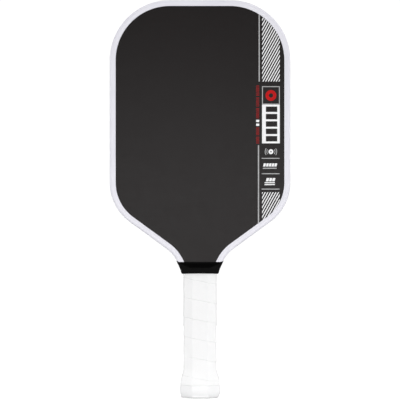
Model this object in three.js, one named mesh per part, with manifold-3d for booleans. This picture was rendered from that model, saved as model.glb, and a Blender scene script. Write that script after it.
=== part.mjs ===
// A pickleball paddle: a honeycomb panel between two carbon face sheets, with a channel-section edge guard round its
// head, and an octagonal handle built up on the panel's tongue. Millimetres, +Z up along the handle and the head,
// -Y is the front face. The origin is the centre of the butt end, on which the paddle can stand.
import * as THREE from "three";
import { mergeVertices } from "three/addons/utils/BufferGeometryUtils.js";
import Module from "manifold-3d";

const wasm = await Module();
wasm.setup();

// ---------------------------------------------------------------- driving dimensions

const FIT_GAP = 0.3; // between a piece and the neighbour that it lies on or was cut to

// Head outline, measured over the edge guard
const OVERALL_LENGTH = 419;
const HEAD_WIDTH = 190.5;
const TOP_CORNER_RADIUS = 63.5;
const LOWER_CORNER_RADIUS = 57;
const THROAT_RADIUS = 39.5;
const NECK_WIDTH = 38.2; // between the two throat curves at the height of their centres
const HANDLE_LENGTH = 144.5; // from the butt end to the collar's upper edge
const THROAT_DROP = 18.8; // from that edge down to the throat curves' centres
const TAPER_ANGLE = 36.1; // degrees, from level, of the straight taper between throat curve and lower corner

// Panel
const CORE_THICKNESS = 14;
const FACE_SHEET_THICKNESS = 0.7;
const FOAM_WIDTH = 9; // the foam wall between the core and the panel's edge
const CELL_PITCH = 15; // across the flats of one honeycomb cell, wall included
const CELL_WALL = 0.8;

// Edge guard
const GUARD_WALL = 1.5;
const GUARD_LIP = 0.7; // a lip's thickness, over a face sheet
const GUARD_REACH = 6.8; // from the guard's outer edge to a lip's inner edge
const GUARD_ROUNDING = 2.2;
const GUARD_COVERED = 3; // the length of each guard end that the collar covers

// Handle: an octagon, whose two side flats are the panel's own edges
const HANDLE_WIDTH = 31.4;
const HANDLE_DEPTH = 24.8;
const HANDLE_FRONT_FLAT = 15;
const SHOULDER_DROP = 7.6; // from the collar's upper edge down to the step from neck to tongue
const PALLET_TIP = 0.5; // a pallet's thickness at its upper end, where it has sloped down to the face sheet

// Butt cap
const CAP_FLOOR = 6;
const CAP_RIM_HEIGHT = 13.5;
const CAP_RIM_PROUD = 0.3; // how far the rim stands out past the grip's lower edge
const CAP_EDGE_RADIUS = 3;
const CAP_SLEEVE_HEIGHT = 13.3; // above the rim
const BADGE_THICKNESS = 1.4;
const BADGE_MARGIN = 7; // from the rim's side to the badge's edge
const TAG_RADIUS = 9;
const TAG_THICKNESS = 0.8;

// The handle's flare towards the butt: how far the octagon grows at three heights
const FLARE_AT_RIM = 3.3;
const FLARE_AT_KNEE = 2.6;
const FLARE_AT_SLEEVE_TOP = 1;
const FLARE_KNEE_HEIGHT = 6.5; // above the rim
const FLARE_RUN_OUT = 1.7; // above the sleeve, where the flare ends

// Staples, two on each broad side
const STAPLE_CROWN = 6.4;
const STAPLE_WIRE_WIDTH = 0.9;
const STAPLE_WIRE_THICKNESS = 0.5;
const STAPLE_SPACING = 8.2;
const STAPLE_HEIGHT = 6; // above the rim
const STAPLE_SEAT = 0.8; // the cap's wall that is left under a crown
const STAPLE_TIP_GAP = 0.4; // from a leg's tip to the pallet's inner face

// Grip
const GRIP_THICKNESS = 1.7;
const TAPE_HEIGHT = 4;
const TAPE_THICKNESS = 0.3;

// Collar
const COLLAR_HEIGHT = 12.5;
const COLLAR_WALL = 1;

const ARC_STEPS = 7; // ExtrudeGeometry divides each arc of an outline into twice as many
const EDGE_STEPS = 3; // the steps of a rounded edge
const CUT_MARGIN = 1; // how far a cutting solid runs past what it cuts

// ---------------------------------------------------------------- derived places

const coreHalf = CORE_THICKNESS / 2;
const panelHalf = coreHalf + FIT_GAP + FACE_SHEET_THICKNESS;
const palletInnerY = panelHalf + FIT_GAP;
const guardHalf = panelHalf + FIT_GAP + GUARD_LIP;
const panelInset = GUARD_WALL + FIT_GAP;
const coreInset = panelInset + FOAM_WIDTH + FIT_GAP;

const tongueBottom = CAP_FLOOR + FIT_GAP;
const sleeveTop = CAP_RIM_HEIGHT + CAP_SLEEVE_HEIGHT;
const shoulderZ = HANDLE_LENGTH - SHOULDER_DROP;
const guardEndZ = HANDLE_LENGTH - GUARD_COVERED;
const gripTopZ = shoulderZ - FIT_GAP;
const collarBottomZ = HANDLE_LENGTH - COLLAR_HEIGHT;

// How far each layer's outside lies from the bare handle's octagon
const gripInside = FIT_GAP;
const gripOutside = gripInside + GRIP_THICKNESS;
const tapeInside = gripOutside + FIT_GAP;
const tapeOutside = tapeInside + TAPE_THICKNESS;
const collarOutside = tapeOutside + FIT_GAP + COLLAR_WALL;
const rimOutside = gripOutside + FLARE_AT_RIM + CAP_RIM_PROUD;

const throatCentre = new THREE.Vector2(NECK_WIDTH / 2 + THROAT_RADIUS, HANDLE_LENGTH - THROAT_DROP);
const topCentre = new THREE.Vector2(HEAD_WIDTH / 2 - TOP_CORNER_RADIUS, OVERALL_LENGTH - TOP_CORNER_RADIUS);

// The taper is a straight line that the lower corner touches from one side and the throat curve from the other.
// normalAngle is the way that it faces, and the lower corner's centre follows from it.
const normalAngle = THREE.MathUtils.degToRad(TAPER_ANGLE - 90);
const lowerCentre = new THREE.Vector2(HEAD_WIDTH / 2 - LOWER_CORNER_RADIUS, 0);
const sideways = (throatCentre.x - lowerCentre.x) * Math.cos(normalAngle);
lowerCentre.y = throatCentre.y - (LOWER_CORNER_RADIUS + THROAT_RADIUS - sideways) / Math.sin(normalAngle);

// ---------------------------------------------------------------- solids

// A three.js geometry as a manifold-3d solid, its shared vertices merged
function solid(geometry) {
  geometry.deleteAttribute("normal");
  geometry.deleteAttribute("uv");
  const merged = mergeVertices(geometry, 1e-4);
  return new wasm.Manifold(
    new wasm.Mesh({
      numProp: 3,
      vertProperties: new Float32Array(merged.attributes.position.array),
      triVerts: new Uint32Array(merged.index.array),
    }),
  );
}

function geometryOf(manifold) {
  const mesh = manifold.getMesh();
  const geometry = new THREE.BufferGeometry();
  geometry.setAttribute("position", new THREE.BufferAttribute(mesh.vertProperties, 3));
  geometry.setIndex(new THREE.BufferAttribute(mesh.triVerts, 1));
  return geometry;
}

function box(lowX, lowY, lowZ, highX, highY, highZ) {
  const geometry = new THREE.BoxGeometry(highX - lowX, highY - lowY, highZ - lowZ);
  return solid(geometry.translate((lowX + highX) / 2, (lowY + highY) / 2, (lowZ + highZ) / 2));
}

// Everything below a height, to cut with
const below = (z) => box(-HEAD_WIDTH, -HEAD_WIDTH, -CUT_MARGIN, HEAD_WIDTH, HEAD_WIDTH, z);

// A shape drawn in X and Z, given thickness along Y. Rounding eases the edges of both broad faces.
function plate(shape, fromY, toY, rounding = 0) {
  const geometry = new THREE.ExtrudeGeometry(shape, {
    depth: toY - fromY - 2 * rounding,
    curveSegments: ARC_STEPS,
    bevelEnabled: rounding > 0,
    bevelThickness: rounding,
    bevelSize: rounding,
    bevelOffset: -rounding,
    bevelSegments: EDGE_STEPS,
  });
  return solid(geometry.rotateX(Math.PI / 2).translate(0, toY - rounding, 0));
}

// The head's outline, inset from the guard's outer edge and cut off straight at the shoulder
function headOutline(inset, bottomZ = shoulderZ) {
  const throat = THROAT_RADIUS + inset;
  const lower = LOWER_CORNER_RADIUS - inset;
  const top = TOP_CORNER_RADIUS - inset;
  const start = Math.asin((bottomZ - throatCentre.y) / throat);
  const shape = new THREE.Shape();
  shape.absarc(throatCentre.x, throatCentre.y, throat, Math.PI - start, Math.PI + normalAngle, true);
  shape.absarc(lowerCentre.x, lowerCentre.y, lower, normalAngle, 0, false);
  shape.absarc(topCentre.x, topCentre.y, top, 0, Math.PI / 2, false);
  shape.absarc(-topCentre.x, topCentre.y, top, Math.PI / 2, Math.PI, false);
  shape.absarc(-lowerCentre.x, lowerCentre.y, lower, Math.PI, Math.PI - normalAngle, false);
  shape.absarc(-throatCentre.x, throatCentre.y, throat, -normalAngle, start, true);
  return shape;
}

// ---------------------------------------------------------------- octagonal sections

const handleSection = {
  halfWidth: HANDLE_WIDTH / 2,
  halfDepth: HANDLE_DEPTH / 2,
  frontFlat: HANDLE_FRONT_FLAT / 2,
  sideFlat: panelHalf,
};

// The octagon whose eight sides all lie a distance further out
function grown(section, distance) {
  const alongX = section.halfWidth - section.frontFlat;
  const alongY = section.halfDepth - section.sideFlat;
  const slant = Math.hypot(alongX, alongY);
  const normalX = alongY / slant;
  const normalY = alongX / slant;
  return {
    halfWidth: section.halfWidth + distance,
    halfDepth: section.halfDepth + distance,
    frontFlat: section.frontFlat + (distance * (1 - normalY)) / normalX,
    sideFlat: section.sideFlat + (distance * (1 - normalX)) / normalY,
  };
}

const handleGrown = (distance) => grown(handleSection, distance);

function ring(z, { halfWidth, halfDepth, frontFlat, sideFlat }) {
  const corners = [
    [halfWidth, -sideFlat],
    [halfWidth, sideFlat],
    [frontFlat, halfDepth],
    [-frontFlat, halfDepth],
    [-halfWidth, sideFlat],
    [-halfWidth, -sideFlat],
    [-frontFlat, -halfDepth],
    [frontFlat, -halfDepth],
  ];
  return corners.map(([x, y]) => new THREE.Vector3(x, y, z));
}

// A closed solid through a stack of octagons, each given as [height, section], from the lowest to the highest
function loft(levels) {
  const rings = levels.map(([z, section]) => ring(z, section));
  const sides = rings[0].length;
  const index = [];
  for (let level = 0; level + 1 < rings.length; level++) {
    for (let side = 0; side < sides; side++) {
      const here = level * sides + side;
      const next = level * sides + ((side + 1) % sides);
      index.push(here, next, next + sides);
      index.push(here, next + sides, here + sides);
    }
  }
  const last = (rings.length - 1) * sides;
  for (let side = 1; side + 1 < sides; side++) {
    index.push(0, side + 1, side);
    index.push(last, last + side, last + side + 1);
  }
  const geometry = new THREE.BufferGeometry().setFromPoints(rings.flat());
  return solid(geometry.setIndex(index));
}

const handlePrism = (distance, fromZ, toZ) =>
  loft([
    [fromZ, handleGrown(distance)],
    [toZ, handleGrown(distance)],
  ]);

// The flare's octagons, a distance further out than the cap's sleeve
function flareLevels(distance, bottomZ) {
  return [
    [bottomZ, handleGrown(FLARE_AT_RIM + distance)],
    [CAP_RIM_HEIGHT + FLARE_KNEE_HEIGHT, handleGrown(FLARE_AT_KNEE + distance)],
    [sleeveTop, handleGrown(FLARE_AT_SLEEVE_TOP + distance)],
  ];
}

// ---------------------------------------------------------------- panel

// The head inset from the guard's edge, with the tongue that runs down the handle. Clearance widens both.
function panelSlab(inset, fromY, toY, clearance = 0) {
  const halfTongue = HANDLE_WIDTH / 2 + clearance;
  const head = plate(headOutline(inset - clearance, shoulderZ - clearance), fromY, toY);
  return head.add(box(-halfTongue, fromY, tongueBottom, halfTongue, toY, lowerCentre.y));
}

function honeycombCore() {
  const core = panelSlab(coreInset, -coreHalf, coreHalf);
  const room = panelSlab(coreInset, -coreHalf - 2 * CUT_MARGIN, coreHalf + 2 * CUT_MARGIN, -CELL_WALL);
  const cellRadius = (CELL_PITCH - CELL_WALL) / Math.sqrt(3);
  const cell = solid(new THREE.CylinderGeometry(cellRadius, cellRadius, CORE_THICKNESS + 2 * CUT_MARGIN, 6));
  const rowHeight = (CELL_PITCH * Math.sqrt(3)) / 2;
  const columns = Math.ceil(HEAD_WIDTH / 2 / CELL_PITCH);
  const cells = [];
  for (let z = tongueBottom + CELL_PITCH, row = 0; z < OVERALL_LENGTH; z += rowHeight, row++) {
    const shift = row % 2 === 0 ? 0 : CELL_PITCH / 2;
    for (let column = -columns; column <= columns; column++) {
      const placed = cell.translate(column * CELL_PITCH + shift, 0, z);
      if (placed.subtract(room).isEmpty()) cells.push(placed);
    }
  }
  return core.subtract(wasm.Manifold.union(cells));
}

function perimeterFoam() {
  const edge = plate(headOutline(panelInset), -coreHalf, coreHalf);
  const inside = coreHalf + CUT_MARGIN;
  return edge.subtract(panelSlab(coreInset, -inside, inside, FIT_GAP));
}

function edgeGuard() {
  const outside = plate(headOutline(0), -guardHalf, guardHalf, GUARD_ROUNDING);
  const channel = plate(headOutline(GUARD_WALL), -palletInnerY, palletInnerY);
  const opening = plate(headOutline(GUARD_REACH), -guardHalf - CUT_MARGIN, guardHalf + CUT_MARGIN);
  return outside.subtract(channel).subtract(opening).subtract(below(guardEndZ));
}

// ---------------------------------------------------------------- staples

const stapleCrownY = handleSection.halfDepth + FIT_GAP + STAPLE_SEAT;
const stapleZ = CAP_RIM_HEIGHT + STAPLE_HEIGHT;

// A staple on the back of the handle, its crown's inner face on the cap, its legs pointing to the panel. Clearance
// makes the hole for it, which is open to the outside.
function backStaple(x, clearance = 0) {
  const halfCrown = STAPLE_CROWN / 2 + clearance;
  const legWidth = STAPLE_WIRE_THICKNESS + 2 * clearance;
  const lowZ = stapleZ - STAPLE_WIRE_WIDTH / 2 - clearance;
  const highZ = stapleZ + STAPLE_WIRE_WIDTH / 2 + clearance;
  const tipY = palletInnerY + STAPLE_TIP_GAP - clearance;
  const seatY = stapleCrownY - clearance;
  const topY = stapleCrownY + STAPLE_WIRE_THICKNESS + (clearance > 0 ? FLARE_AT_RIM : 0);
  const crown = box(x - halfCrown, seatY, lowZ, x + halfCrown, topY, highZ);
  const leftLeg = box(x - halfCrown, tipY, lowZ, x - halfCrown + legWidth, topY, highZ);
  const rightLeg = box(x + halfCrown - legWidth, tipY, lowZ, x + halfCrown, topY, highZ);
  return crown.add(leftLeg).add(rightLeg);
}

const onFront = (manifold) => manifold.rotate(0, 0, 180);
const staplePlaces = [-STAPLE_SPACING / 2, STAPLE_SPACING / 2];

const backStapleHoles = wasm.Manifold.union(staplePlaces.map((x) => backStaple(x, FIT_GAP)));
const stapleHoles = backStapleHoles.add(onFront(backStapleHoles));

// ---------------------------------------------------------------- handle

// The pallet that is bonded to the back face sheet. Its upper end slopes down to the sheet under the collar.
function backPallet() {
  const tip = palletInnerY + PALLET_TIP;
  const { halfWidth, halfDepth, frontFlat, sideFlat } = handleSection;
  const along = (tip - sideFlat) / (halfDepth - sideFlat);
  const tipSection = { halfWidth, halfDepth: tip, frontFlat: halfWidth + (frontFlat - halfWidth) * along, sideFlat };
  const whole = loft([
    [tongueBottom, handleSection],
    [gripTopZ, handleSection],
    [guardEndZ - FIT_GAP, tipSection],
  ]);
  const back = box(-HANDLE_WIDTH, palletInnerY, 0, HANDLE_WIDTH, HANDLE_DEPTH, OVERALL_LENGTH);
  return whole.intersect(back).subtract(stapleHoles);
}

const rimSection = handleGrown(rimOutside);
const tagBottom = BADGE_THICKNESS + FIT_GAP;

// A round disc that lies flat
function disc(radius, fromZ, toZ) {
  const geometry = new THREE.CylinderGeometry(radius, radius, toZ - fromZ, 24);
  return solid(geometry.rotateX(Math.PI / 2).translate(0, 0, (fromZ + toZ) / 2));
}

function buttCap() {
  const levels = [];
  for (let step = 0; step <= EDGE_STEPS; step++) {
    const angle = (step / EDGE_STEPS) * (Math.PI / 2);
    const inset = CAP_EDGE_RADIUS * (1 - Math.sin(angle));
    levels.push([CAP_EDGE_RADIUS * (1 - Math.cos(angle)), grown(rimSection, -inset)]);
  }
  levels.push([CAP_RIM_HEIGHT, rimSection], ...flareLevels(0, CAP_RIM_HEIGHT));
  const badgeRecess = loft([
    [-CUT_MARGIN, grown(rimSection, FIT_GAP - BADGE_MARGIN)],
    [BADGE_THICKNESS + FIT_GAP, grown(rimSection, FIT_GAP - BADGE_MARGIN)],
  ]);
  const tagPocket = disc(TAG_RADIUS + FIT_GAP, BADGE_THICKNESS, tagBottom + TAG_THICKNESS + FIT_GAP);
  return loft(levels)
    .subtract(handlePrism(FIT_GAP, CAP_FLOOR, sleeveTop + CUT_MARGIN))
    .subtract(badgeRecess)
    .subtract(tagPocket)
    .subtract(stapleHoles);
}

const buttBadge = () =>
  loft([
    [0, grown(rimSection, -BADGE_MARGIN)],
    [BADGE_THICKNESS, grown(rimSection, -BADGE_MARGIN)],
  ]);

// ---------------------------------------------------------------- grip and collar

// The grip's inner or outer surface, from the cap's rim to the grip's upper end
function gripSolid(distance, bottomZ, topZ) {
  return loft([
    ...flareLevels(distance, bottomZ),
    [sleeveTop + FLARE_RUN_OUT, handleGrown(distance)],
    [topZ, handleGrown(distance)],
  ]);
}

function gripWrap() {
  const outside = gripSolid(gripOutside, CAP_RIM_HEIGHT + FIT_GAP, gripTopZ);
  return outside.subtract(gripSolid(gripInside, CAP_RIM_HEIGHT, gripTopZ + CUT_MARGIN));
}

function finishingTape() {
  const outside = handlePrism(tapeOutside, gripTopZ - TAPE_HEIGHT, gripTopZ);
  const inside = handlePrism(tapeInside, gripTopZ - TAPE_HEIGHT - CUT_MARGIN, gripTopZ + CUT_MARGIN);
  return outside.subtract(inside);
}

// The octagon round the two guard edges at the neck. Its corners touch the guard's rounding.
function neckSection(z) {
  const halfWidth = throatCentre.x - Math.sqrt(THROAT_RADIUS ** 2 - (z - throatCentre.y) ** 2);
  const corner = (2 - Math.SQRT2) * GUARD_ROUNDING;
  return { halfWidth, halfDepth: guardHalf, frontFlat: halfWidth - corner, sideFlat: guardHalf - corner };
}

// The collar's outer surface, or the one that lies a wall inside it: octagonal over the grip's end, then drawn in
// at the front and the back to the guard
function collarSolid(wall, bottomZ, topZ) {
  const overGrip = handleGrown(collarOutside - wall);
  const shoulderWidth = Math.max(overGrip.halfWidth, neckSection(shoulderZ).halfWidth + COLLAR_WALL - wall);
  const clearOfGuard = FIT_GAP + COLLAR_WALL - wall;
  return loft([
    [bottomZ, overGrip],
    [shoulderZ, { ...overGrip, halfWidth: shoulderWidth }],
    [guardEndZ - FIT_GAP, grown(neckSection(guardEndZ), clearOfGuard)],
    [HANDLE_LENGTH, grown(neckSection(HANDLE_LENGTH), clearOfGuard)],
    ...(topZ > HANDLE_LENGTH ? [[topZ, grown(neckSection(HANDLE_LENGTH), clearOfGuard)]] : []),
  ]);
}

function gripCollar() {
  const inside = collarSolid(COLLAR_WALL, collarBottomZ - CUT_MARGIN, HANDLE_LENGTH + CUT_MARGIN);
  return collarSolid(0, collarBottomZ, HANDLE_LENGTH).subtract(inside);
}

// ---------------------------------------------------------------- materials

const finish = (color, roughness, metalness = 0) => new THREE.MeshStandardMaterial({ color, roughness, metalness });

const polypropylene = finish(0xc9cdd2, 0.6);
const foam = finish(0xe6dcc0, 0.9);
const carbon = finish(0x2d2c2d, 0.75);
const whitePlastic = finish(0xe6e5ee, 0.4);
const palletFoam = finish(0xc8b68e, 0.85);
const steel = finish(0xb4b6ba, 0.35, 1);
const badgePlastic = finish(0x1c1c1e, 0.45);
const tagFilm = finish(0xb87333, 0.5, 0.3);
const cushion = finish(0xf4f4f6, 0.7);
const tapeFilm = finish(0x151515, 0.5);
const rubber = finish(0x0c0c0c, 0.65);

// ---------------------------------------------------------------- assembly

const group = new THREE.Group();

function addPiece(name, manifold, material) {
  const mesh = new THREE.Mesh(geometryOf(manifold), material);
  mesh.name = name;
  group.add(mesh);
}

const faceSheet = panelSlab(panelInset, coreHalf + FIT_GAP, panelHalf);
const pallet = backPallet();

addPiece("honeycomb_core", honeycombCore(), polypropylene);
addPiece("perimeter_foam", perimeterFoam(), foam);
addPiece("front_face_sheet", onFront(faceSheet), carbon);
addPiece("back_face_sheet", faceSheet, carbon);
addPiece("edge_guard", edgeGuard(), whitePlastic);
addPiece("handle_pallet_front", onFront(pallet), palletFoam);
addPiece("handle_pallet_back", pallet, palletFoam);
addPiece("butt_cap", buttCap(), whitePlastic);
addPiece("butt_badge", buttBadge(), badgePlastic);
addPiece("nfc_tag", disc(TAG_RADIUS, tagBottom, tagBottom + TAG_THICKNESS), tagFilm);
staplePlaces.forEach((x, place) => {
  addPiece(`butt_staple_back_${place + 1}`, backStaple(x), steel);
  addPiece(`butt_staple_front_${place + 1}`, onFront(backStaple(x)), steel);
});
addPiece("grip_wrap", gripWrap(), cushion);
addPiece("grip_finishing_tape", finishingTape(), tapeFilm);
addPiece("grip_collar", gripCollar(), rubber);

export default group;
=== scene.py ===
"""A pickleball paddle: printed carbon face, white edge guard, rubber collar, wound white grip and butt cap.

Lengths are in metres. +Z runs up the handle and the head, and -Y is the front.
"""
import math

import bmesh
import bpy
import numpy as np
from mathutils import Matrix, Vector


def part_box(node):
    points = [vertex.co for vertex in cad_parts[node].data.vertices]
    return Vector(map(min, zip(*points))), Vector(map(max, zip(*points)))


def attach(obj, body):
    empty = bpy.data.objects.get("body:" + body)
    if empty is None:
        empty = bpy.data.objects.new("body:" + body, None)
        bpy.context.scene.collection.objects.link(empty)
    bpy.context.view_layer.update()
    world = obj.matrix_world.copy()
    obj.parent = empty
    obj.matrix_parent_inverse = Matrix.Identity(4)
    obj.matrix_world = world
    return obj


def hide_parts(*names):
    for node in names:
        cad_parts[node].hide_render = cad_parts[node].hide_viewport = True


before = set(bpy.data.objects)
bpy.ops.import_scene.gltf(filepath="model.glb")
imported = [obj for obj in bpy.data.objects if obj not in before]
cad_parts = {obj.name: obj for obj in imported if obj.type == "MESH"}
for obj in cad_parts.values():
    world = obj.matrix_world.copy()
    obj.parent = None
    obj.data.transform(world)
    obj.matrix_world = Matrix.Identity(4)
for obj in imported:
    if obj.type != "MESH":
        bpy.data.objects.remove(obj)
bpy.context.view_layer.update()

MM = 0.001
scene = bpy.context.scene

# ---------------------------------------------------------------- sizes that the CAD has too

TOP_CORNER_RADIUS = 63.5 * MM
THROAT_RADIUS = 39.5 * MM
TAPER_ANGLE = math.radians(36.1)

HANDLE_WIDTH = 31.4 * MM
HANDLE_DEPTH = 24.8 * MM
HANDLE_FRONT_FLAT = 15 * MM

GUARD_WALL = 1.5 * MM
GUARD_ROUNDING = 2.2 * MM
COLLAR_WALL = 1 * MM
RIM_HEIGHT = 13.5 * MM
CAP_FLOOR = 6 * MM
FLARE = 3.3 * MM  # how far the handle has grown at the cap's rim
FIT_GAP = 0.3 * MM

# From the bare handle to the surface of the grip, the collar and the cap's rim
GRIP_OUTSIDE = 2 * MM
COLLAR_OUTSIDE = 3.9 * MM
RIM_OUTSIDE = 5.6 * MM

# ---------------------------------------------------------------- sizes that differ from the CAD's

LOWER_CORNER_RADIUS = 51.5 * MM
NECK_WIDTH = 39.3 * MM  # between the throat curves at the height of their centres
THROAT_DROP = 19.3 * MM  # from the CAD collar's upper edge down to those centres
GUARD_REACH = 6.4 * MM  # from the guard's outer edge to a lip's soft inner edge
FLARE_END = 29 * MM

# ---------------------------------------------------------------- places from the frame

guard_low, guard_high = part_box("edge_guard")
collar_low, collar_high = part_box("grip_collar")
grip_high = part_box("grip_wrap")[1]
cap_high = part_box("butt_cap")[1]
badge_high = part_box("butt_badge")[1]
sheet_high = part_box("back_face_sheet")[1]

head_half = guard_high.x
head_top = guard_high.z
guard_half = guard_high.y
panel_half = sheet_high.y
handle_length = collar_high.z

throat_centre = (NECK_WIDTH / 2 + THROAT_RADIUS, handle_length - THROAT_DROP)
normal_angle = TAPER_ANGLE - math.pi / 2  # of the straight taper, which touches both curves
lower_x = head_half - LOWER_CORNER_RADIUS
sideways = (throat_centre[0] - lower_x) * math.cos(normal_angle)
lower_centre = (
    lower_x,
    throat_centre[1] - (LOWER_CORNER_RADIUS + THROAT_RADIUS - sideways) / math.sin(normal_angle),
)
top_centre = (head_half - TOP_CORNER_RADIUS, head_top - TOP_CORNER_RADIUS)


# ---------------------------------------------------------------- meshes

COINCIDENT = 0.002 * MM  # points this near are one
NO_LENGTH = 0.001 * MM  # edges this short are dropped


def placed(name, data):
    """A new object in the scene that holds a mesh, a light or a camera."""
    made = bpy.data.objects.new(name, data)
    scene.collection.objects.link(made)
    return made


def mesh_object(name, points, faces, sharp_above=40):
    """A smooth-shaded object, with sharp edges where it turns by more than so many degrees."""
    mesh = bpy.data.meshes.new(name)
    mesh.from_pydata([tuple(point) for point in points], [], faces)
    mesh.validate()
    made = placed(name, mesh)
    clean(made)
    mesh.shade_smooth()
    mesh.set_sharp_from_angle(angle=math.radians(sharp_above))
    return made


def clean(made):
    """Merges points that coincide, and turns every face outwards."""
    work = bmesh.new()
    work.from_mesh(made.data)
    bmesh.ops.remove_doubles(work, verts=work.verts, dist=COINCIDENT)
    bmesh.ops.dissolve_degenerate(work, edges=work.edges, dist=NO_LENGTH)
    bmesh.ops.recalc_face_normals(work, faces=work.faces)
    work.to_mesh(made.data)
    work.free()


def grid_faces(rows, columns, close_rows=False, close_columns=False):
    """Quads over points laid out row by row."""
    faces = []
    for row in range(rows if close_rows else rows - 1):
        here, above = row * columns, (row + 1) % rows * columns
        for column in range(columns if close_columns else columns - 1):
            beside = (column + 1) % columns
            faces.append((here + column, here + beside, above + beside, above + column))
    return faces


def eased(share):
    """A share from 0 to 1 that starts and ends gently."""
    share = np.clip(share, 0, 1)
    return share * share * (3 - 2 * share)


def piece(made, slot, material, *replaced):
    """A new piece of the one body, with its material, and the CAD nodes that it stands for."""
    made.data.materials.clear()
    made.data.materials.append(material)
    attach(made, "root")
    if replaced:
        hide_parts(*replaced)
    return made


# ---------------------------------------------------------------- head outline

THROAT_STEPS, LOWER_STEPS, TOP_STEPS = 18, 22, 36


def arc(centre, radius, start, end, steps):
    return [
        (centre[0] + radius * math.cos(a), centre[1] + radius * math.sin(a))
        for a in (start + (end - start) * k / steps for k in range(steps + 1))
    ]


def head_outline(inset, bottom):
    """(x, z) points round the head from the neck's right to its left, inset from the guard's outer edge."""
    throat = THROAT_RADIUS + inset
    start = math.asin((bottom - throat_centre[1]) / throat)
    right = arc(throat_centre, throat, math.pi - start, math.pi + normal_angle, THROAT_STEPS)
    right += arc(lower_centre, LOWER_CORNER_RADIUS - inset, normal_angle, 0, LOWER_STEPS)
    right += arc(top_centre, TOP_CORNER_RADIUS - inset, 0, math.pi / 2, TOP_STEPS)
    return right + [(-x, z) for x, z in reversed(right)]


# ---------------------------------------------------------------- edge guard

LIP_CLEARANCE = 0.35 * MM  # over the face sheet
LIP_DROP = 0.28 * MM  # from the guard's outside down to the bead along its lip
LIP_EDGE = 0.22 * MM
CHANNEL_FILLET = 0.4 * MM
GUARD_CORNER_STEPS = 8


def guard_profile():
    """Half of the guard's section, (inset, y): its inner wall, its back lip and its outer corner."""
    lip_inside = panel_half + LIP_CLEARANCE
    bead = guard_half - LIP_DROP
    half = [
        (GUARD_WALL, 0),
        (GUARD_WALL, lip_inside - CHANNEL_FILLET),
        (GUARD_WALL + CHANNEL_FILLET, lip_inside),
        (GUARD_REACH, lip_inside),
        (GUARD_REACH, bead - LIP_EDGE),
        (GUARD_REACH - 0.3 * LIP_EDGE, bead - 0.3 * LIP_EDGE),
        (GUARD_REACH - LIP_EDGE, bead),
    ]
    # The bead, a shallow groove beside it and the rise to the full thickness
    half += [
        (GUARD_REACH - 0.9 * MM, bead + 0.04 * MM),
        (GUARD_REACH - 1.25 * MM, bead - 0.02 * MM),
        (GUARD_REACH - 1.6 * MM, bead + 0.1 * MM),
        (GUARD_REACH - 2.2 * MM, guard_half - 0.06 * MM),
        (GUARD_REACH - 3.2 * MM, guard_half),
    ]
    corner = (GUARD_ROUNDING, guard_half - GUARD_ROUNDING)
    return half + arc(corner, GUARD_ROUNDING, math.pi / 2, math.pi, GUARD_CORNER_STEPS)


def edge_guard():
    """The guard's section taken round the head, with flat ends under the collar."""
    half = guard_profile()
    profile = half + [(inset, -y) for inset, y in reversed(half[1:])]
    loops = [head_outline(inset, guard_low.z) for inset, _ in profile]
    count = len(loops[0])
    points = [(x, y, z) for (_, y), loop in zip(profile, loops) for x, z in loop]
    faces = grid_faces(len(profile), count, close_rows=True)
    for end in (0, count - 1):
        faces.append(tuple(row * count + end for row in range(len(profile))))
    return mesh_object("guard", points, faces)


# ---------------------------------------------------------------- octagonal sections

CORNER_STEPS = 7
FLAT_STEPS = 5

HANDLE = (HANDLE_WIDTH / 2, HANDLE_DEPTH / 2, HANDLE_FRONT_FLAT / 2, panel_half)


def grown(section, distance):
    """The octagon (half width, half depth, front flat, side flat) with each side that much further out."""
    half_width, half_depth, front_flat, side_flat = section
    along_x, along_y = half_width - front_flat, half_depth - side_flat
    slant = math.hypot(along_x, along_y)
    normal_x, normal_y = along_y / slant, along_x / slant
    return (
        half_width + distance,
        half_depth + distance,
        front_flat + distance * (1 - normal_y) / normal_x,
        side_flat + distance * (1 - normal_x) / normal_y,
    )


def ring(section, rounding):
    """(x, y) points round an octagon with rounded corners, the same number for any size."""
    half_width, half_depth, front_flat, side_flat = grown(section, -rounding)
    quarter = [(half_width, side_flat), (front_flat, half_depth)]
    corners = quarter + [(-x, y) for x, y in reversed(quarter)]
    corners += [(-x, -y) for x, y in corners]
    slant = math.atan2(half_width - front_flat, half_depth - side_flat)
    normals = [0, slant, math.pi / 2, math.pi - slant]
    normals += [a + math.pi for a in normals]
    points = []
    for k, corner in enumerate(corners):
        start, end = normals[k], normals[(k + 1) % len(corners)]
        end += 2 * math.pi if end < start else 0
        points += arc(corner, rounding, start, end, CORNER_STEPS)
        here = points[-1]
        following = corners[(k + 1) % len(corners)]
        ahead = (following[0] + rounding * math.cos(end), following[1] + rounding * math.sin(end))
        for share in np.arange(1, FLAT_STEPS) / FLAT_STEPS:
            points.append(tuple(a + (b - a) * share for a, b in zip(here, ahead)))
    return np.array(points)


def handle_ring(distance, rounding):
    """The same round the handle's octagon, that far out from it."""
    return ring(grown(HANDLE, distance), rounding)


def lofted(name, levels, close=False, sharp_above=40):
    """A solid through rings of (x, y) points at heights. If close, the last ring joins the first."""
    count = len(levels[0][0])
    points = []
    for outline, height in levels:
        heights = np.broadcast_to(height, count)
        points += [(x, y, z) for (x, y), z in zip(outline, heights)]
    faces = grid_faces(len(levels), count, close_rows=close, close_columns=True)
    if not close:
        last = (len(levels) - 1) * count
        faces += [tuple(range(count)), tuple(range(last, last + count))]
    return mesh_object(name, points, faces, sharp_above)


def flare(z):
    """How far the handle has grown at that height, from the cap's rim up."""
    share = np.clip((FLARE_END - z) / (FLARE_END - RIM_HEIGHT), 0, 1)
    return FLARE * np.sin(share * math.pi / 2) ** 1.25


# ---------------------------------------------------------------- grip

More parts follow.
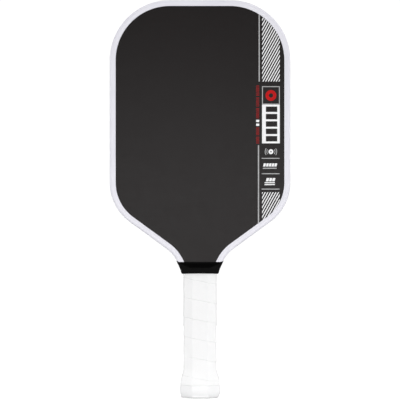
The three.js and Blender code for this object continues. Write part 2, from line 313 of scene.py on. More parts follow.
GRIP_PITCH = 20.5 * MM
GRIP_ROUNDING = 3.2 * MM
GRIP_INNER_ROUNDING = 0.5 * MM
GRIP_OVER_RIM = 0.08 * MM  # the gap between the cap's rim and the grip's lower end
INNER_START = RIM_HEIGHT + 1.5 * MM  # the inner wall's first level above its lower end
INNER_LEVELS = 8  # from there to where the flare ends
GRIP_STEP = 0.28 * MM  # how proud a turn's lower edge stands of the turn under it
GRIP_SLACK = 0.04 * MM  # keeps raised edges and swollen turns inside the CAD grip's surface
EDGE_SHARE = 0.03  # the share of a turn's width over which its lower edge rises
PILLOW = 0.12 * MM  # how far a turn swells in its middle
SEAM_DEPTH = 0.14 * MM
HEM_TUCK, HEM_HEIGHT = 0.15 * MM, 1.2 * MM  # how far the grip's lower end is pulled in, and how high up
# The shares of a turn's width where it has points, closest together at its edges
TURN = (0, 0.008, 0.02, 0.04, 0.075, 0.13, 0.2, 0.3, 0.4, 0.5, 0.6, 0.7, 0.8, 0.88, 0.94, 0.975, 0.992)


def turn_relief(share):
    """The grip's relief across one turn, from its lower edge, 0, to where the next turn covers it, 1."""
    rise = eased(share / EDGE_SHARE)
    fall = (1 - share) ** 1.3
    pillow = PILLOW * np.sin(math.pi * np.clip(share, 0, 1)) ** 0.7
    return GRIP_STEP * rise * fall + pillow - SEAM_DEPTH * (1 - rise)


def wound_surface(bottom, top):
    """The tape's surface, as rows of points that each follow its edge once round the handle."""
    base = handle_ring(0, GRIP_ROUNDING)
    reach = (handle_ring(MM, GRIP_ROUNDING) - base) / MM
    outer = base + reach * GRIP_OUTSIDE
    steps = np.linalg.norm(np.diff(np.vstack([outer, outer[:1]]), axis=0), axis=1)
    around = np.concatenate([[0], np.cumsum(steps)])
    around /= around[-1]
    column = np.arange(len(around)) % len(base)

    turns = math.ceil((top - bottom) / GRIP_PITCH) + 2
    rows = np.array([turn + share for turn in range(turns) for share in TURN])
    z = np.clip(bottom + GRIP_PITCH * (rows[:, None] - around), bottom, top)
    cut_share = np.mod((z - bottom) / GRIP_PITCH + around, 1)
    free_share = np.mod(rows, 1)[:, None]
    share = np.where((z > bottom) & (z < top), free_share, cut_share)
    hem = HEM_TUCK * (1 - np.clip((z - bottom) / HEM_HEIGHT, 0, 1)) ** 2
    growth = flare(z) + GRIP_OUTSIDE - GRIP_STEP - GRIP_SLACK + turn_relief(share) - hem
    return np.dstack([base[column] + reach[column] * growth[..., None], z])


def grip_wrap():
    """The wound surface, a plain inner wall, and the two ends that join them."""
    bottom, top = RIM_HEIGHT + GRIP_OVER_RIM, grip_high.z
    outer = wound_surface(bottom, top)
    rows, columns = outer.shape[:2]
    sides = columns - 1
    heights = [bottom, *np.linspace(INNER_START, FLARE_END, INNER_LEVELS), top]
    inner = []
    for z in heights:
        wall = handle_ring(flare(z) + FIT_GAP, GRIP_INNER_ROUNDING)
        inner.append(np.column_stack([wall, np.full(sides, z)]))
    points = np.vstack([outer.reshape(-1, 3), *inner])

    first_inner = rows * columns
    last_outer = first_inner - columns
    last_inner = first_inner + (len(heights) - 1) * sides
    faces = grid_faces(rows, columns)
    for face in grid_faces(len(heights), sides, close_columns=True):
        faces.append(tuple(first_inner + index for index in face))
    for k in range(sides):
        for outside, inside in ((0, first_inner), (last_outer, last_inner)):
            faces.append((outside + k, outside + k + 1, inside + (k + 1) % sides, inside + k))
    return mesh_object("grip", points, faces, sharp_above=65)


# ---------------------------------------------------------------- butt cap and badge

CAP_ROUNDING = 3.4 * MM
CAP_EDGE_IN, CAP_EDGE_UP = 4.2 * MM, 7 * MM  # how far the rounded lower edge goes in, and up
RIM_LEAN = 0.35 * MM  # how far the rim's side has come in at its upper edge
RIM_EDGE = 0.25 * MM  # the rounding of that edge, and the bevel round the badge
LEDGE_WIDTH = 1.2 * MM  # the ledge over the badge, round the tag's pocket
POCKET_DEPTH = 1.4 * MM  # above the badge
SLEEVE_SINK = 0.2 * MM  # how far the sleeve lies inside the flared grip's line
SLEEVE_LEAST = 0.7 * MM
SLEEVE_ROUNDING = 2.5 * MM
CUP_ROUNDING = 0.8 * MM
CAP_EDGE_STEPS, RIM_SIDE_STEPS, RIM_EDGE_STEPS, SLEEVE_STEPS = 12, 6, 4, 8


def butt_cap(staples):
    """The cap from the pocket in its end, over its rim and its sleeve, and down to the floor of its cup."""
    recess = badge_high.x + FIT_GAP - HANDLE_WIDTH / 2
    ledge = badge_high.z + FIT_GAP
    profile = [
        (recess - LEDGE_WIDTH, badge_high.z + POCKET_DEPTH),
        (recess - LEDGE_WIDTH, ledge),
        (recess, ledge),
        (recess, RIM_EDGE),
        (recess + RIM_EDGE, 0),
    ]
    for angle in np.linspace(0, math.pi / 2, CAP_EDGE_STEPS + 1):
        inset = CAP_EDGE_IN * (1 - math.sin(angle))
        profile.append((RIM_OUTSIDE - inset, CAP_EDGE_UP * (1 - math.cos(angle))))
    side_height = RIM_HEIGHT - RIM_EDGE - CAP_EDGE_UP
    for share in np.linspace(0, 1, RIM_SIDE_STEPS + 1)[1:]:
        profile.append((RIM_OUTSIDE - RIM_LEAN * share**2, CAP_EDGE_UP + side_height * share))
    for angle in np.linspace(0, math.pi / 2, RIM_EDGE_STEPS + 1)[1:]:
        inset = RIM_LEAN + RIM_EDGE * (1 - math.cos(angle))
        profile.append((RIM_OUTSIDE - inset, RIM_HEIGHT - RIM_EDGE * (1 - math.sin(angle))))
    levels = [(handle_ring(distance, CAP_ROUNDING), height) for distance, height in profile]
    for height in np.linspace(RIM_HEIGHT, cap_high.z, SLEEVE_STEPS + 1):
        distance = max(flare(height) - SLEEVE_SINK, SLEEVE_LEAST)
        levels.append((handle_ring(distance, SLEEVE_ROUNDING), height))
    levels += [(handle_ring(FIT_GAP, CUP_ROUNDING), height) for height in (cap_high.z, CAP_FLOOR)]
    cap = lofted("butt_cap_shell", levels)
    cut_slots(cap, staples)
    return cap


def cut_slots(made, nodes):
    """Cuts a slot for each node's box, with the usual gap all round."""
    work = bmesh.new()
    for node in nodes:
        low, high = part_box(node)
        size = [high[k] - low[k] + 2 * FIT_GAP for k in range(3)]
        middle = (Vector(low) + Vector(high)) / 2
        place = Matrix.Translation(middle) @ Matrix.Diagonal((*size, 1))
        bmesh.ops.create_cube(work, size=1, matrix=place)
    mesh = bpy.data.meshes.new("slots")
    work.to_mesh(mesh)
    work.free()
    cutter = placed("slots", mesh)
    modifier = made.modifiers.new("slots", "BOOLEAN")
    modifier.object = cutter
    modifier.operation = "DIFFERENCE"
    modifier.solver = "EXACT"
    shape = bpy.data.meshes.new_from_object(made.evaluated_get(bpy.context.evaluated_depsgraph_get()))
    made.modifiers.clear()
    made.data = shape
    bpy.data.objects.remove(cutter)


BADGE_ROUNDING = 3 * MM
BADGE_RELIEF = (  # in mm, over two raised outlines: (distance in from the badge's side, height)
    (0, 0.3),
    (0.3, 0),
    (1.6, 0),
    (1.9, 0.35),
    (3, 0.35),
    (3.3, 0.05),
    (4, 0.05),
    (4.3, 0.35),
)


def butt_badge():
    """The badge in the cap's end, with its raised outlines facing down."""
    outside = badge_high.x - HANDLE_WIDTH / 2
    levels = [(handle_ring(outside, BADGE_ROUNDING), badge_high.z)]
    for inset, height in BADGE_RELIEF:
        levels.append((handle_ring(outside - inset * MM, BADGE_ROUNDING), height * MM))
    return lofted("badge", levels, sharp_above=30)


# ---------------------------------------------------------------- collar

COLLAR_PROFILE = (  # in mm: (height over the collar's lower edge, half width there)
    (0, 19),
    (0.8, 19.6),
    (1.8, 20),
    (3.4, 20.35),
    (4.9, 20.9),
    (7, 21.8),
    (9.5, 23),
    (11, 23.8),
    (12.5, 24.4),
    (13.5, 24.9),
)
COLLAR_ROUNDING = 2.6 * MM
COLLAR_LIP = 0.35 * MM  # the rubber's thickness at its upper edge
COLLAR_SLIP = 1.6 * MM  # how much lower the stretched rubber sits than its plain CAD solid
THINNING_START = 5 * MM  # above the collar's lower edge
DEPTH_CHANGE_START = collar_low.z + 4.6 * MM  # where the collar starts to narrow from the grip to the neck
DEPTH_CHANGE_HEIGHT = 5.4 * MM
EAR = 1 * MM  # how far its pointed upper ends rise
EAR_START = 0.86  # the share of its half width where they start
HEM_ARCH = 0.7 * MM  # how far its lower edge rises in the middle
COLLAR_LEVELS, COLLAR_EDGE_STEPS = 26, 6
collar_bottom = collar_low.z - COLLAR_SLIP
collar_top = collar_high.z - COLLAR_SLIP


def collar_half_width(z):
    heights, widths = zip(*COLLAR_PROFILE)
    return np.interp((z - collar_bottom) / MM, heights, widths) * MM


def collar_wall(z):
    """The rubber's thickness: full round the grip, and less towards the upper edge."""
    full_below = collar_bottom + THINNING_START
    share = eased((z - full_below) / (collar_top - full_below))
    return COLLAR_WALL + (COLLAR_LIP - COLLAR_WALL) * share


def collar_section(z):
    """The collar's outside: the handle's octagon at its lower end, a rounded rectangle round the neck."""
    grip_width, grip_depth, grip_front_flat, grip_side_flat = grown(HANDLE, COLLAR_OUTSIDE)
    neck_depth = guard_half + FIT_GAP + collar_wall(z)
    neck_rounding = GUARD_ROUNDING + FIT_GAP + collar_wall(z)
    neck_cut = (2 - math.sqrt(2)) * neck_rounding + 0.05 * MM  # just over what the rounding takes
    share = eased((z - DEPTH_CHANGE_START) / DEPTH_CHANGE_HEIGHT)
    half_width = collar_half_width(z)
    half_depth = grip_depth + (neck_depth - grip_depth) * share
    cut_x = (grip_width - grip_front_flat) * (1 - share) + neck_cut * share
    cut_y = (grip_depth - grip_side_flat) * (1 - share) + neck_cut * share
    rounding = COLLAR_ROUNDING + (neck_rounding - COLLAR_ROUNDING) * share
    return (half_width, half_depth, half_width - cut_x, half_depth - cut_y), rounding


def grip_collar():
    """A sleeve with rounded edges, whose sides run up into ears and whose lower edge is arched."""
    lower_edge, upper_edge = COLLAR_WALL / 2, COLLAR_LIP / 2  # their roundings
    heights = np.linspace(collar_bottom + lower_edge, collar_top - upper_edge, COLLAR_LEVELS)
    angles = np.linspace(0, math.pi, COLLAR_EDGE_STEPS + 1)[1:-1]
    path = [(z, 0) for z in heights]
    for angle in angles:
        inset = upper_edge * (1 - math.cos(angle))
        path.append((collar_top - upper_edge * (1 - math.sin(angle)), inset))
    path += [(z, collar_wall(z)) for z in reversed(heights)]
    for angle in angles:
        inset = lower_edge * (1 + math.cos(angle))
        path.append((collar_bottom + lower_edge * (1 - math.sin(angle)), inset))

    levels = []
    for z, inset in path:
        section, rounding = collar_section(z)
        outline = ring(grown(section, -inset), rounding - inset)
        height = (z - collar_bottom) / (collar_top - collar_bottom)
        out = np.abs(outline[:, 0]) / np.abs(outline[:, 0]).max()
        ear = np.clip((out - EAR_START) / (1 - EAR_START), 0, 1) ** 2 * EAR * height**3
        arch = (1 - np.clip(out, 0, 1) ** 3) * HEM_ARCH * (1 - height) ** 3
        outline[:, 0] *= collar_half_width(z + ear) / collar_half_width(z)
        levels.append((outline, z + ear + arch))
    return lofted("collar", levels, close=True, sharp_above=70)


# ---------------------------------------------------------------- print, drawn in shapes of (x, z) points

INK_THICKNESS = 0.05 * MM
INK_LIFT = 0.01 * MM
INK_MERGE = 0.005 * MM  # points of a colour's shapes this near are one
INK_REACH = GUARD_REACH - 0.9 * MM  # the print runs on under the guard's lip

# The wide strip on the face's right, from its top down
STRIP_LEFT, STRIP_RIGHT = 65.4 * MM, 84.1 * MM
STRIP_MIDDLE = (STRIP_LEFT + STRIP_RIGHT) / 2
UPPER_HATCH_BOTTOM = 333.1 * MM
SQUARE_TOP, SQUARE_BOTTOM = 328.1 * MM, 308.7 * MM
BLOCK_BOTTOM = 267.9 * MM
SYMBOL_HEIGHT = 259.1 * MM
RULES = (252.1 * MM, 235.9 * MM, 219.7 * MM)
UPPER_LABEL_ENDS, UPPER_LABEL_LINE = (66 * MM, 80.6 * MM), 241.1 * MM
LOWER_LABEL_ENDS, LOWER_LABEL_LINES = (67.8 * MM, 78.6 * MM), (225.9 * MM, 223.9 * MM)
LOWER_HATCH_TOP = 216.4 * MM

HATCH_PITCH = 2.8 * MM
HATCH_STRIPE = 1.2 * MM
HATCH_LEAN = 0.55  # run for each unit of rise
LABEL_LEAN = 0.25
LABEL_BLOCK_GAP = 0.55 * MM
LABEL_LINE = 1.1 * MM
SQUARE_LINE = 0.85 * MM
SQUARE_GAP = 0.15 * MM  # between the square's frame and the block under it
RULE_ENDS = (STRIP_LEFT - 0.4 * MM, STRIP_RIGHT - 0.3 * MM)
RULE_HALF = 0.45 * MM
OPENINGS = 5
OPENING_GAP = 2 * MM
BLOCK_SIDES = (4 * MM, 2.7 * MM)  # the white left and right of the openings

DISC = (0.7 * MM, 2.6 * MM)  # inner and outer radii
MARK_RING = (2.3 * MM, 5.7 * MM)
ARC_RADII = (4.3 * MM, 6.1 * MM)  # of the lines' middles
ARC_HALF_LINE = 0.35 * MM
ARC_HALF_ANGLE = 0.6
DISC_STEPS, RING_STEPS, ARC_STEPS, CUT_STEPS = 28, 40, 12, 24

# The narrow column to the left of the strip
COLUMN_LEFT, COLUMN_RIGHT = 59.2 * MM, 62.4 * MM
UPPER_LINE = (61.8 * MM, 63 * MM)  # the left and right sides of a long grey line
LOWER_LINE = (61 * MM, 62.3 * MM)
LOWER_LINE_TOP = 266 * MM
LOWER_LINE_BOTTOM = 150 * MM  # past the guard's edge, which cuts it
SMALL_SQUARES = (286.3 * MM, 290.3 * MM)
SMALL_SQUARE_HEIGHT = 2.4 * MM
# Red bars that stand for two lines of lettering: the height where each starts, and the bars in each word
RED_WORDS = ((294.5 * MM, (9, 8, 9)), (268 * MM, (6, 7)))
RED_BAR_PITCH = 1.25 * MM
RED_BAR = 0.38 * MM


def clipped(shape, edge_point, inward):
    """The part of a convex polygon on the inner side of a line."""

    def depth(point):
        return (point[0] - edge_point[0]) * inward[0] + (point[1] - edge_point[1]) * inward[1]

    kept = []
    for k, here in enumerate(shape):
        before = shape[k - 1]
        if (depth(here) < 0) != (depth(before) < 0):
            share = depth(before) / (depth(before) - depth(here))
            kept.append(tuple(b + (h - b) * share for b, h in zip(before, here)))
        if depth(here) >= 0:
            kept.append(here)
    return kept if len(kept) > 2 else []


def inside_guard(shape):
    """A polygon on the right of the head, cut to the guard's lip."""
    for centre, radius, start, end in (
        (top_centre, TOP_CORNER_RADIUS - INK_REACH, 0, math.pi / 2),
        (lower_centre, LOWER_CORNER_RADIUS - INK_REACH, normal_angle, 0),
    ):
        for point in arc(centre, radius, start, end, CUT_STEPS):
            shape = clipped(shape, point, (centre[0] - point[0], centre[1] - point[1]))
    return shape


def inside_box(shape, left, bottom, right, top):
    """A polygon cut to an upright rectangle."""
    for point, inward in (
        ((left, bottom), (1, 0)),
        ((left, bottom), (0, 1)),
        ((right, top), (-1, 0)),
        ((right, top), (0, -1)),
    ):
        shape = clipped(shape, point, inward)
    return shape


def bar(left, bottom, right, top, lean=0):
    """An upright rectangle, or a parallelogram that leans to the right."""
    return [(left, bottom), (right, bottom), (right + lean, top), (left + lean, top)]


def band(centre, inner, outer, start, end, steps):
    """Quads that make up part of a round band."""
    near, far = arc(centre, inner, start, end, steps), arc(centre, outer, start, end, steps)
    return [[near[k], far[k], far[k + 1], near[k + 1]] for k in range(steps)]


def cells(across, up, is_open):
    """The quads between the given x and z lines, apart from those that stay open."""
    return [
        bar(across[i], up[j], across[i + 1], up[j + 1])
        for i in range(len(across) - 1)
        for j in range(len(up) - 1)
        if not is_open(i, j)
    ]


def square_frame(left, bottom, right, top, width):
    """Lines of that width just inside a rectangle's sides."""
    across = (left, left + width, right - width, right)
    up = (bottom, bottom + width, top - width, top)
    return cells(across, up, lambda i, j: i == 1 and j == 1)


def hatch(bottom, top):
    """Leaning stripes over the strip's width."""
    shapes = []
    run = (top - bottom) * HATCH_LEAN
    for k in range(math.ceil((STRIP_RIGHT - STRIP_LEFT + run) / HATCH_PITCH)):
        left = STRIP_LEFT - run + k * HATCH_PITCH
        stripe = bar(left, bottom, left + HATCH_STRIPE, top, run)
        stripe = inside_guard(inside_box(stripe, STRIP_LEFT, bottom, STRIP_RIGHT, top))
        if stripe:
            shapes.append(stripe)
    return shapes


def open_block():
    """The white block that stands for a name: openings in it show the face."""
    opening = (SQUARE_BOTTOM - BLOCK_BOTTOM - OPENING_GAP * (OPENINGS + 1)) / OPENINGS
    up = [BLOCK_BOTTOM]
    for k in range(2 * OPENINGS + 1):
        up.append(up[-1] + (opening if k % 2 else OPENING_GAP))
    across = (STRIP_LEFT, STRIP_LEFT + BLOCK_SIDES[0], STRIP_RIGHT - BLOCK_SIDES[1], STRIP_RIGHT)
    return cells(across, up, lambda i, j: i == 1 and j % 2 == 1)


def label_blocks(left, bottom, height, width, count):
    """Leaning blocks in a row, which stand for a small label's lettering."""
    shapes = []
    for k in range(count):
        start = left + k * (width + LABEL_BLOCK_GAP)
        shapes.append(bar(start, bottom, start + width, bottom + height, LABEL_LEAN * height))
    return shapes


def white_print():
    shapes = hatch(UPPER_HATCH_BOTTOM, head_top)
    shapes += hatch(lower_centre[1] - LOWER_CORNER_RADIUS, LOWER_HATCH_TOP)
    shapes += open_block()
    shapes += band((STRIP_MIDDLE, SYMBOL_HEIGHT), *DISC, 0, 2 * math.pi, DISC_STEPS)
    shapes += label_blocks(left=66.4 * MM, bottom=243.5 * MM, height=3.3 * MM, width=2.4 * MM, count=5)
    shapes += label_blocks(left=69.4 * MM, bottom=227.9 * MM, height=3.5 * MM, width=2.7 * MM, count=3)
    left, right = LOWER_LABEL_ENDS
    for height in LOWER_LABEL_LINES:
        shapes.append(bar(left, height, right, height + LABEL_LINE, 0.5 * MM))
    for bottom in SMALL_SQUARES:
        shapes.append(bar(COLUMN_LEFT, bottom, COLUMN_RIGHT, bottom + SMALL_SQUARE_HEIGHT))
    return shapes


def grey_print():
    shapes = [
        inside_guard(bar(UPPER_LINE[0], UPPER_HATCH_BOTTOM, UPPER_LINE[1], head_top)),
        inside_guard(bar(LOWER_LINE[0], LOWER_LINE_BOTTOM, LOWER_LINE[1], LOWER_LINE_TOP)),
    ]
    left, right = UPPER_LABEL_ENDS
    shapes.append(bar(left, UPPER_LABEL_LINE, right, UPPER_LABEL_LINE + LABEL_LINE, 0.4 * MM))
    shapes += square_frame(STRIP_LEFT, SQUARE_BOTTOM + SQUARE_GAP, STRIP_RIGHT, SQUARE_TOP, SQUARE_LINE)
    left, right = RULE_ENDS
    for height in RULES:
        shapes.append(bar(left, height - RULE_HALF, right, height + RULE_HALF))
    for radius in ARC_RADII:
        for middle in (0, math.pi):
            radii = (radius - ARC_HALF_LINE, radius + ARC_HALF_LINE)
            angles = (middle - ARC_HALF_ANGLE, middle + ARC_HALF_ANGLE)
            shapes += band((STRIP_MIDDLE, SYMBOL_HEIGHT), *radii, *angles, ARC_STEPS)
    return shapes


def red_print():
    middle = (STRIP_MIDDLE, (SQUARE_TOP + SQUARE_BOTTOM) / 2)
    shapes = band(middle, *MARK_RING, 0, 2 * math.pi, RING_STEPS)
    for bottom, words in RED_WORDS:
        for bars in words:
            for k in range(bars):
                start = bottom + k * RED_BAR_PITCH
                shapes.append(bar(COLUMN_LEFT, start, COLUMN_RIGHT, start + RED_BAR))
            bottom += (bars + 1) * RED_BAR_PITCH
    return shapes


def ink(name, shapes, front):
    """Thin solids on a face sheet. The back's print is the front's, turned half round the handle."""
    side = -1 if front else 1
    work = bmesh.new()
    for shape in shapes:
        corners = [work.verts.new((-side * x, side * (panel_half + INK_LIFT), z)) for x, z in shape]
        work.faces.new(corners)
    bmesh.ops.remove_doubles(work, verts=work.verts, dist=INK_MERGE)
    raised = bmesh.ops.extrude_face_region(work, geom=list(work.faces), use_keep_orig=True)
    moved = [item for item in raised["geom"] if isinstance(item, bmesh.types.BMVert)]
    bmesh.ops.translate(work, vec=(0, side * INK_THICKNESS, 0), verts=moved)
    bmesh.ops.recalc_face_normals(work, faces=work.faces)
    mesh = bpy.data.meshes.new(name)
    work.to_mesh(mesh)
    work.free()
    return placed(name, mesh)


# ---------------------------------------------------------------- materials


class Nodes:
    """A new material's nodes, and short ways to add to them."""

    def __init__(self, name):
        self.material = bpy.data.materials.new(name)
        self.material.use_nodes = True
        self.tree = self.material.node_tree
        self.shader = self.tree.nodes["Principled BSDF"]
        self.place = None

    def add(self, kind, **settings):
        node = self.tree.nodes.new(kind)
        for key, value in settings.items():
            setattr(node, key, value)
        return node

    def link(self, output, socket):
        self.tree.links.new(output, socket)

    def coordinates(self, stretch=(1, 1, 1)):
        """Object coordinates in metres, times a factor for each axis."""
        if self.place is None:
            self.place = self.add("ShaderNodeTexCoord")
        mapping = self.add("ShaderNodeMapping")
        mapping.inputs["Scale"].default_value = stretch
        self.link(self.place.outputs["Object"], mapping.inputs["Vector"])
        return mapping.outputs["Vector"]

    def noise(self, scale, detail=3, stretch=(1, 1, 1)):
        node = self.add("ShaderNodeTexNoise")
        node.inputs["Scale"].default_value = scale
        node.inputs["Detail"].default_value = detail
        node.inputs["Roughness"].default_value = 0.55
        self.link(self.coordinates(stretch), node.inputs["Vector"])
        return node.outputs["Fac"]

    def math(self, operation, *values):
        """A Math node over outputs and plain numbers."""
        node = self.add("ShaderNodeMath", operation=operation)
        for socket, value in zip(node.inputs, values):
            if isinstance(value, (int, float)):
                socket.default_value = value
            else:
                self.link(value, socket)
        return node.outputs["Value"]

    def weighted(self, *terms):
        """The sum of (output, weight) terms."""
        parts = [self.math("MULTIPLY", *term) for term in terms]
        total = parts[0]
        for part in parts[1:]:
            total = self.math("ADD", total, part)
        return total

    def spread(self, factor, low, high, from_low=0.0, from_high=1.0):
        """A factor between from_low and from_high, brought to between low and high."""
        node = self.add("ShaderNodeMapRange")
        node.inputs["From Min"].default_value = from_low
        node.inputs["From Max"].default_value = from_high
        node.inputs["To Min"].default_value = low
        node.inputs["To Max"].default_value = high
        self.link(factor, node.inputs["Value"])
        return node.outputs["Result"]

    def colour(self, factor, *ends):
        """Gives the shader a colour that runs between two ends with the factor."""
        node = self.add("ShaderNodeMix", data_type="RGBA")
        self.link(factor, node.inputs["Factor"])
        sockets = [socket for socket in node.inputs if socket.type == "RGBA"]
        for socket, end in zip(sockets, ends):
            socket.default_value = (*end, 1)
        mixed = next(output for output in node.outputs if output.type == "RGBA")
        self.link(mixed, self.shader.inputs["Base Color"])

    def roughness(self, factor, low, high, from_low=0.0, from_high=1.0):
        spread = self.spread(factor, low, high, from_low, from_high)
        self.link(spread, self.shader.inputs["Roughness"])

    def bump(self, height, distance, strength):
        node = self.add("ShaderNodeBump")
        node.inputs["Distance"].default_value = distance
        node.inputs["Strength"].default_value = strength
        self.link(height, node.inputs["Height"])
        self.link(node.outputs["Normal"], self.shader.inputs["Normal"])

    def set(self, **sockets):
        for name, value in sockets.items():
            self.shader.inputs[name.replace("_", " ")].default_value = value


def carbon():
    """Raw carbon with the fine cloth texture that peel ply leaves."""
    made = Nodes("raw_carbon")
    thread_pitch = 1.25 * MM
    waver = 0.15 * MM
    place = made.add("ShaderNodeSeparateXYZ")
    made.link(made.coordinates(), place.inputs["Vector"])
    wobble = made.spread(made.noise(60, 1), -waver, waver)
    threads = []
    for axis in ("X", "Z"):
        across = made.math("ADD", place.outputs[axis], wobble)
        threads.append(made.math("SINE", made.math("MULTIPLY", across, 2 * math.pi / thread_pitch)))
    weave = made.math("MULTIPLY", *threads)
    streaks = made.math(
        "ADD",
        made.noise(1, 2, stretch=(2200, 60, 60)),
        made.noise(1, 2, stretch=(60, 60, 2200)),
    )
    grit = made.noise(2600, 2)
    broad = made.noise(14, 2)
    made.bump(made.weighted((weave, 0.35), (grit, 1.2), (streaks, 0.8)), 0.03 * MM, 0.5)
    tone = made.weighted((weave, 0.08), (streaks, 0.35), (broad, 0.45))
    made.colour(made.spread(tone, 0, 1, 0.3, 0.8), (0.0034, 0.0018, 0.0018), (0.005, 0.003, 0.003))
    made.roughness(streaks, 0.36, 0.44, 0.7, 1.3)
    made.set(Specular_IOR_Level=0.18)
    return made.material


def plastic(name, first, second, rough=(0.3, 0.42)):
    """Moulded plastic: a faint cloudiness, and a very fine skin."""
    made = Nodes(name)
    made.colour(made.spread(made.noise(35), 0, 1, 0.3, 0.7), first, second)
    made.roughness(made.noise(220), *rough, 0.3, 0.7)
    made.bump(made.noise(1800, 2), 0.012 * MM, 0.4)
    return made.material


def cushion():
    """Soft polyurethane tape: a fine leather-like grain over a slightly cloudy white, with painted shade
    that darkens the grain's creases a little.
    """
    made = Nodes("grip_cushion")
    grain = made.add("ShaderNodeTexVoronoi", feature="DISTANCE_TO_EDGE")
    grain.inputs["Scale"].default_value = 900
    made.link(made.coordinates(), grain.inputs["Vector"])
    creases = made.spread(grain.outputs["Distance"], 0, 1, 0, 0.25)
    made.bump(made.weighted((creases, 0.7), (made.noise(500), 0.6)), 0.07 * MM, 0.5)
    soft = made.noise(90)
    # The creases also darken the colour a little: painted shade in the grain's hollows.
    tone = made.weighted((made.spread(soft, 0, 1, 0.3, 0.7), 0.7), (creases, 0.3))
    made.colour(tone, (0.84, 0.84, 0.842), (0.875, 0.875, 0.877))
    made.roughness(soft, 0.5, 0.66, 0.3, 0.7)
    made.set(Specular_IOR_Level=0.35)
    return made.material


def rubber():
    """Dull black rubber with a faint skin."""
    made = Nodes("collar_rubber")
    made.colour(made.noise(60), (0.0012, 0.0012, 0.0012), (0.0022, 0.0022, 0.0022))
    made.roughness(made.noise(300), 0.55, 0.72)
    made.bump(made.noise(2400), 0.02 * MM, 0.5)
    made.set(Specular_IOR_Level=0.05)
    return made.material


def ink_material(name, first, second):
    """Screen-printed ink: slightly uneven, and textured by the carbon under it."""
    made = Nodes(name)
    made.colour(made.spread(made.noise(420), 0, 1, 0.35, 0.65), first, second)
    made.roughness(made.noise(160, 2), 0.5, 0.62)
    made.bump(made.noise(2600, 2), 0.02 * MM, 0.35)
    made.set(Specular_IOR_Level=0.14)
    return made.material


def foam(name, first, second, cell):
    """Rigid foam with open cells of that size, its colour darkest in the cells' hollows: painted shade over
    the cells' pattern.
    """
    made = Nodes(name)
    grain = made.add("ShaderNodeTexVoronoi")
    grain.inputs["Scale"].default_value = 1 / cell
    made.link(made.coordinates(), grain.inputs["Vector"])
    # The colour follows the cells and is darkest in their hollows, where the bump is lowest: partly the
    # cells' pattern, partly painted shade.
    made.colour(grain.outputs["Distance"], first, second)
    made.bump(grain.outputs["Distance"], 0.2 * cell, 0.6)
    made.set(Roughness=0.9)
    return made.material


def wire():
    """Drawn steel, streaked along its length."""
    made = Nodes("staple_wire")
    streak = made.noise(1, stretch=(300, 300, 4000))
    made.colour(streak, (0.42, 0.43, 0.45), (0.6, 0.61, 0.63))
    made.roughness(streak, 0.22, 0.42)
    made.set(Metallic=1.0)
    return made.material


def tag_film():
    """Film with the rings of a printed coil."""
    made = Nodes("tag_film")
    rings = made.add("ShaderNodeTexWave", wave_type="RINGS", rings_direction="Z")
    rings.inputs["Scale"].default_value = 130
    made.link(made.coordinates(), rings.inputs["Vector"])
    made.colour(rings.outputs["Fac"], (0.55, 0.22, 0.06), (0.75, 0.72, 0.66))
    made.roughness(rings.outputs["Fac"], 0.3, 0.6)
    return made.material


# ---------------------------------------------------------------- assembly


def dress(material, *nodes):
    """Gives a material to CAD nodes that stay."""
    for node in nodes:
        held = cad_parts[node]
        held.data.materials.clear()
        held.data.materials.append(material)


staples = [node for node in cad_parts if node.startswith("butt_staple")]
pallet_foam = foam("pallet_foam", (0.45, 0.36, 0.2), (0.62, 0.52, 0.31), 0.5 * MM)
dress(carbon(), "front_face_sheet", "back_face_sheet")
dress(plastic("core_plastic", (0.5, 0.53, 0.57), (0.6, 0.63, 0.66), (0.45, 0.6)), "honeycomb_core")
dress(foam("edge_foam", (0.62, 0.55, 0.38), (0.82, 0.76, 0.58), 0.8 * MM), "perimeter_foam")
dress(pallet_foam, "handle_pallet_front", "handle_pallet_back")
dress(plastic("tape_film", (0.006, 0.006, 0.006), (0.01, 0.01, 0.01), (0.35, 0.5)), "grip_finishing_tape")
dress(tag_film(), "nfc_tag")
dress(wire(), *staples)

guard_plastic = plastic("guard_plastic", (0.71, 0.702, 0.765), (0.75, 0.742, 0.80))
cap_plastic = plastic("cap_plastic", (0.79, 0.79, 0.796), (0.82, 0.82, 0.825))
badge_plastic = plastic("badge_plastic", (0.012, 0.012, 0.013), (0.018, 0.018, 0.019))
piece(edge_guard(), "guard_plastic", guard_plastic, "edge_guard")
grip = piece(grip_wrap(), "grip_cushion", cushion(), "grip_wrap")
piece(grip_collar(), "collar_rubber", rubber(), "grip_collar")
piece(butt_cap(staples), "cap_plastic", cap_plastic, "butt_cap")
piece(butt_badge(), "badge_plastic", badge_plastic, "butt_badge")

inks = {
    "white": (white_print(), ink_material("white_ink", (0.85, 0.85, 0.86), (0.9, 0.9, 0.91))),
    "grey": (grey_print(), ink_material("grey_ink", (0.38, 0.38, 0.385), (0.46, 0.46, 0.465))),
    "red": (red_print(), ink_material("red_ink", (0.42, 0.002, 0.003), (0.5, 0.004, 0.005))),
}
for colour, (shapes, material) in inks.items():
    for side in ("front", "back"):
        piece(ink(f"print_{colour}_{side}", shapes, side == "front"), "carbon_face", material)

# ---------------------------------------------------------------- studio

FLOOR_RADIUS = 0.85
FLOOR_SIDES = 64
FLOOR_DROP = 0.2 * MM  # below the butt end, so that the two don't coincide
WHITE = (1, 1, 1, 1)


def floor():
    """A pale disc under the paddle."""
    mesh = bpy.data.meshes.new("studio_floor")
    rim = arc((0, 0), FLOOR_RADIUS, 0, 2 * math.pi, FLOOR_SIDES)[:-1]
    mesh.from_pydata([(x, y, -FLOOR_DROP) for x, y in rim], [], [tuple(range(FLOOR_SIDES))])
    made = placed("studio_floor", mesh)
    pale = Nodes("studio_floor")
    pale.set(Base_Color=(0.85, 0.85, 0.85, 1), Roughness=0.9, Specular_IOR_Level=0.1)
    pale.set(Emission_Color=WHITE, Emission_Strength=0.35)
    mesh.materials.append(pale.material)
    made.visible_diffuse = False  # so that it doesn't light the paddle from below
    made.visible_shadow = False  # so that floor_glow shines through it


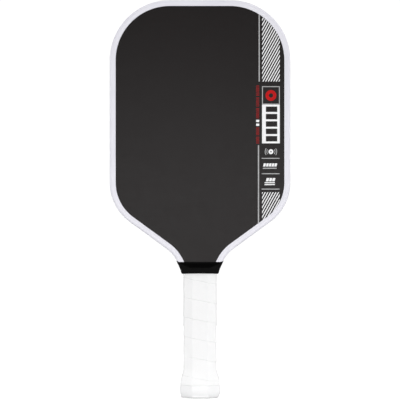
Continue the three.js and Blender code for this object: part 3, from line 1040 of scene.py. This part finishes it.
def add_light(data, place, aim):
    made = placed(data.name, data)
    made.location = place
    made.rotation_euler = (Vector(aim) - Vector(place)).to_track_quat("-Z", "Y").to_euler()
    return made


def area_light(name, place, aim, width, height, radiance):
    data = bpy.data.lights.new(name, "AREA")
    data.shape = "RECTANGLE"
    data.size, data.size_y = width, height
    data.energy = radiance * math.pi * width * height
    return add_light(data, place, aim)


def dome_light(name, direction, spread, energy):
    """Even light from a wide part of the surroundings, which leaves no reflection."""
    data = bpy.data.lights.new(name, "SUN")
    data.angle = math.radians(spread)
    data.energy = energy
    add_light(data, direction, (0, 0, 0)).visible_glossy = False


def lights():
    """Softboxes in front, behind and at the sides, three wide domes, and a glow from under the floor."""
    # Each with its place, what it faces, its width and height, and its radiance
    neck = (0, 0, 0.15)
    lower_face = (0, 0, 0.18)
    middle = (0, 0, head_top / 2)
    area_light("key_right", (0.8, -0.62, 0.1), neck, 0.5, 0.4, 1.6)
    area_light("fill_left", (-0.8, -0.62, 0.1), neck, 0.5, 0.4, 1.65)
    area_light("low_front", (0, -1.62, 0.18), lower_face, 1.2, 0.35, 7.4)
    area_light("low_back", (0, 1.62, 0.18), lower_face, 1.2, 0.35, 7.4)
    area_light("side_right", (1.4, -0.2, 0.35), middle, 0.8, 0.7, 4.5)
    area_light("side_left", (-1.4, -0.1, 0.35), middle, 0.8, 0.7, 3.6)
    dome_light("dome_front", (0, -1, 0.2), 110, 1.19)
    dome_light("dome_back", (0, 1, 0.3), 120, 1.7)
    dome_light("dome_above", (0, 0, 1), 50, 1.5)
    # Small and close, so that it lights the cap's lower edge and little else
    glow = area_light("floor_glow", (0, -0.11, -0.19), (0, -0.02, 0.004), 0.03, 0.03, 48)
    glow.visible_camera = False


def surroundings():
    """A white background for the camera, and a faint light from all round for everything else."""
    world = bpy.data.worlds.new("studio_world")
    scene.world = world
    world.use_nodes = True
    tree = world.node_tree
    faint = tree.nodes["Background"]
    seen = tree.nodes.new("ShaderNodeBackground")
    for background, strength in ((faint, 0.06), (seen, 1.05)):
        background.inputs["Color"].default_value = WHITE
        background.inputs["Strength"].default_value = strength
    path = tree.nodes.new("ShaderNodeLightPath")
    mix = tree.nodes.new("ShaderNodeMixShader")
    tree.links.new(path.outputs["Is Camera Ray"], mix.inputs["Fac"])
    tree.links.new(faint.outputs["Background"], mix.inputs[1])
    tree.links.new(seen.outputs["Background"], mix.inputs[2])
    tree.links.new(mix.outputs["Shader"], tree.nodes["World Output"].inputs["Surface"])


floor()
lights()
surroundings()

scene.view_settings.view_transform = "Standard"
scene.view_settings.look = "None"
scene.view_settings.exposure = 0
scene.view_settings.gamma = 1

# ---------------------------------------------------------------- camera

CAMERA_DISTANCE = 1.5
CAMERA_HEIGHT = 0.2082
VIEW_HEIGHT = 0.4238  # what the picture's height takes in at the handle's middle
SENSOR = 36.0

camera_data = bpy.data.cameras.new("camera")
camera_data.sensor_width = SENSOR
camera_data.lens = SENSOR * CAMERA_DISTANCE / VIEW_HEIGHT
camera = placed("camera", camera_data)
camera.location = (0, -CAMERA_DISTANCE, CAMERA_HEIGHT)
camera.rotation_euler = (math.pi / 2, 0, 0)
scene.camera = camera
